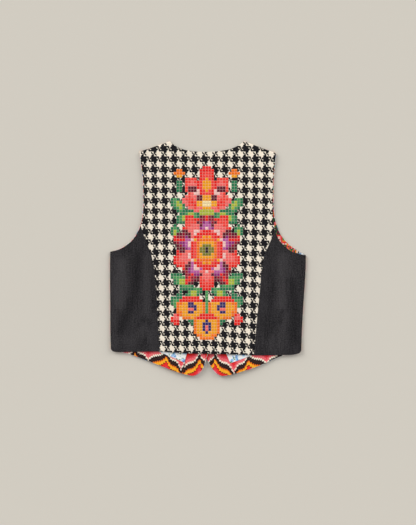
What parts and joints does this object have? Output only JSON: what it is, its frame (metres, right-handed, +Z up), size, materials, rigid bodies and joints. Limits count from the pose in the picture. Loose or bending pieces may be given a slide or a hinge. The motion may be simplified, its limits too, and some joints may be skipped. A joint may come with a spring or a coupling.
{
  "type": "waistcoat",
  "caption": "Sleeveless lined waistcoat laid flat on its front, with a checked centre back, denim side panels and pointed fronts that show below the hem.",
  "frame": {"origin": "middle of the laid-out garment, on the ground that it lies on", "axes": "+Y towards the neck, +X to the right as seen from above, +Z up out of the garment's back"},
  "size_m": [0.4609, 0.5519, 0.01],
  "materials": {
    "check": "woven black and cream dog-tooth check with a cross-stitched flower column",
    "denim": "charcoal denim with an upright slub",
    "flame": "flame-stitched bands of yellow, orange, black, cream, pink and red",
    "floral": "cross-stitched flowers in red, orange, green and cream",
    "lining": "smooth white lining sprinkled with blue and green flowers",
    "thread": "matt sewing thread",
    "button": "dark horn-like buttons with four holes"
  },
  "bodies": {
    "root": {"back_centre": "check", "side_back_left": "denim", "side_back_right": "denim", "front_left": "flame", "front_right": "flame", "facing_left": "flame", "facing_right": "flame", "lining_left": "lining", "lining_right": "lining", "armhole_facing_left": "floral", "armhole_facing_right": "floral", "button_1": "button", "button_2": "button", "button_3": "button", "button_4": "button"}
  },
  "joints": []
}
